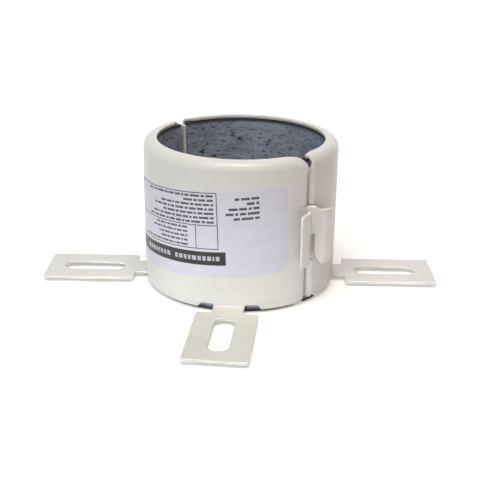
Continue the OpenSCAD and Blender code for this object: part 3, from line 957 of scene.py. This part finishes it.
def graphite():
    """Heat-swelling graphite: layered grain, pits painted black as shade, painted shade at its foot and under
    the rim, and a few flakes painted bright as glints.
    """
    material, tree, shader, place = new_material("graphite_liner")
    layers = add_node(tree, "ShaderNodeMapping", {"Vector": place, "Scale": LAYERS}).outputs["Vector"]
    clouds = noise_of(tree, layers, CLOUD_SCALE, detail=5, roughness=0.65)
    grain = noise_of(tree, layers, GRAIN_SCALE, detail=3, roughness=0.6)
    pits = noise_of(tree, layers, PIT_SCALE, detail=3, roughness=0.6)
    body = mixed(tree, patchy(tree, clouds), GRAPHITE_DARK, GRAPHITE_PALE)
    body = mixed(tree, ranged(tree, grain, GRAIN_LOW, GRAIN_HIGH, 0, GRAIN_SHARE), body, GRAPHITE_GRAIN)
    pit = ranged(tree, pits, PIT_LOW, PIT_HIGH, 0, 1)
    # The pits are real recesses; their black is painted shade.
    body = mixed(tree, pit, body, GRAPHITE_PIT_SHADE)
    # Painted shade: the graphite is darkened at its foot and just under the rim.
    up = add_node(tree, "ShaderNodeSeparateXYZ", {"Vector": place}).outputs["Z"]
    foot = ranged(tree, up, SHADE_LOW, SHADE_LOW + SHADE_FADE, 1, 0)
    brow = ranged(tree, up, SHADE_HIGH - SHADE_FADE, SHADE_HIGH, 0, 1)
    foot_and_rim_shade = add_node(tree, "ShaderNodeMath", {0: foot, 1: brow}, operation="MAXIMUM").outputs[0]
    body = mixed(tree, foot_and_rim_shade, body, GRAPHITE_SHADE)
    # The flakes are painted bright as glints.
    colour = spots_of(tree, place, "Green", FLAKE_SCALE, FLAKE_FROM, FLAKE_SIZE, body, FLAKE_GLINT)
    height = add_node(tree, "ShaderNodeMath", {0: grain, 1: pit}, operation="SUBTRACT").outputs[0]
    dress(tree, shader, colour, patchy(tree, clouds, *GRAPHITE_ROUGH), height, GRAPHITE_RELIEF)
    return material


def film(name, colour, pale, rough):
    """Label film or the ink on it: a faint mottle in colour and gloss."""
    material, tree, shader, place = new_material(name)
    mottle = noise_of(tree, place, MOTTLE_SCALE, detail=3)
    wave = noise_of(tree, place, WAVE_SCALE)
    tint = mixed(tree, patchy(tree, mottle), colour, pale)
    dress(tree, shader, tint, patchy(tree, wave, *rough), wave, WAVE_DEPTH)
    return material


def shows_background(tree):
    """1 for the rays that show the background itself: those of the camera, of gloss and of glass."""
    rays = add_node(tree, "ShaderNodeLightPath").outputs
    seen = rays["Is Camera Ray"]
    for name in ("Is Glossy Ray", "Is Transmission Ray"):
        seen = add_node(tree, "ShaderNodeMath", {0: seen, 1: rays[name]}, operation="MAXIMUM").outputs[0]
    return seen


def white_world():
    """A white background over a soft grey light."""
    world = bpy.data.worlds.new("studio")
    bpy.context.scene.world = world
    world.use_nodes = True
    tree = world.node_tree
    strength = ranged(tree, shows_background(tree), 0, 1, AMBIENT, 1)
    tree.links.new(strength, tree.nodes["Background"].inputs["Strength"])
    tree.nodes["Background"].inputs["Color"].default_value = (1, 1, 1, 1)


def white_floor():
    """A pale floor that shows as white and keeps the collar's shadow."""
    mesh = bpy.data.meshes.new("floor")
    rim = [polar(FLOOR_R, 2 * pi * k / FLOOR_SIDES, cad_box[0][2]) for k in range(FLOOR_SIDES)]
    mesh.from_pydata(rim, [], [range(FLOOR_SIDES)])
    floor = link("floor", mesh)
    material, tree, shader, place = new_material("floor", Roughness=FLOOR_ROUGH)
    pale = mixed(tree, patchy(tree, noise_of(tree, place, FLOOR_SCALE)), FLOOR, FLOOR_PALE)
    tree.links.new(pale, shader.inputs["Base Color"])
    shader.inputs["Emission Color"].default_value = (1, 1, 1, 1)
    away = add_node(tree, "ShaderNodeVectorMath", {0: place}, operation="LENGTH").outputs["Value"]
    fade = ranged(tree, away, FADE_FROM, FADE_TO, FLOOR_GLOW, 1)
    seen = shows_background(tree)
    glow = add_node(tree, "ShaderNodeMath", {0: seen, 1: fade}, operation="MULTIPLY").outputs[0]
    tree.links.new(glow, shader.inputs["Emission Strength"])
    mesh.materials.append(material)


def softbox(name, azimuth, elevation, distance, size, level, colour, aim_z=COLLAR_H / 2, spread=pi):
    """An oblong lamp aimed at the collar. Fully spread, level 1 alone shows a white surface as white."""
    lamp = bpy.data.lights.new(name, "AREA")
    lamp.shape = "RECTANGLE"
    lamp.size, lamp.size_y = size
    lamp.spread = spread
    lamp.energy = level * (pi * distance) ** 2
    lamp.color = colour
    box = bpy.data.objects.new(name, lamp)
    aim = Vector((0, 0, aim_z))
    away = polar(cos(radians(elevation)), radians(azimuth), sin(radians(elevation)))
    box.location = aim + distance * away
    box.rotation_euler = away.to_track_quat("Z", "Y").to_euler()
    bpy.context.scene.collection.objects.link(box)


def photo_camera():
    """The camera that the photograph's outlines fit."""
    data = bpy.data.cameras.new("photo_camera")
    data.sensor_width = SENSOR
    data.lens = SENSOR * FOCAL_PX / IMAGE_PX
    camera = bpy.data.objects.new("photo_camera", data)
    head = atan2(-CAMERA_AT.y, -CAMERA_AT.x)
    forward = polar(cos(CAMERA_DOWN), head, -sin(CAMERA_DOWN))
    level = Vector((sin(head), -cos(head), 0))
    right = cos(CAMERA_ROLL) * level + sin(CAMERA_ROLL) * forward.cross(level)
    up = right.cross(forward)
    camera.matrix_world = Matrix.Translation(CAMERA_AT) @ Matrix((right, up, -forward)).transposed().to_4x4()
    bpy.context.scene.collection.objects.link(camera)
    bpy.context.scene.camera = camera


front_sheet = half_shell("front_sheet", upper=True, turn=FRONT_TURN)
rear_sheet = half_shell("rear_sheet", upper=False, turn=REAR_TURN)
front_graphite = liner_block("front_graphite", upper=True, turn=FRONT_TURN, seed=1)
rear_graphite = liner_block("rear_graphite", upper=False, turn=REAR_TURN, seed=2)
label_film = label_sheet("label_film")
coat_finish = coated_steel()
liner_finish = graphite()
label_finish = [
    film("label_film", FILM, FILM_PALE, FILM_ROUGH),
    film("black_ink", BLACK, BLACK_PALE, INK_ROUGH),
    film("grey_ink", GREY, GREY_PALE, FILM_ROUGH),
    film("pale_ink", ASH, ASH_PALE, FILM_ROUGH),
]
for piece, node, body, slot, finishes in (
        (front_sheet, "front_shell", "front_half", "coated_steel", [coat_finish]),
        (rear_sheet, "rear_shell", "rear_half", "coated_steel", [coat_finish]),
        (front_graphite, "front_liner", "front_half", "graphite_liner", [liner_finish]),
        (rear_graphite, "rear_liner", "rear_half", "graphite_liner", [liner_finish]),
        (label_film, "label", "front_half", "label_film", label_finish)):
    for finish in finishes:
        piece.data.materials.append(finish)
    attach(piece, body)
    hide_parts(node)

white_world()
white_floor()
for name, lamp in LAMPS.items():
    softbox(name, *lamp)
for name, lamp in BEAMS.items():
    softbox(name, *lamp, aim_z=BEAM_AIM, spread=BEAM_SPREAD)
photo_camera()
bpy.context.scene.view_settings.view_transform = "Standard"
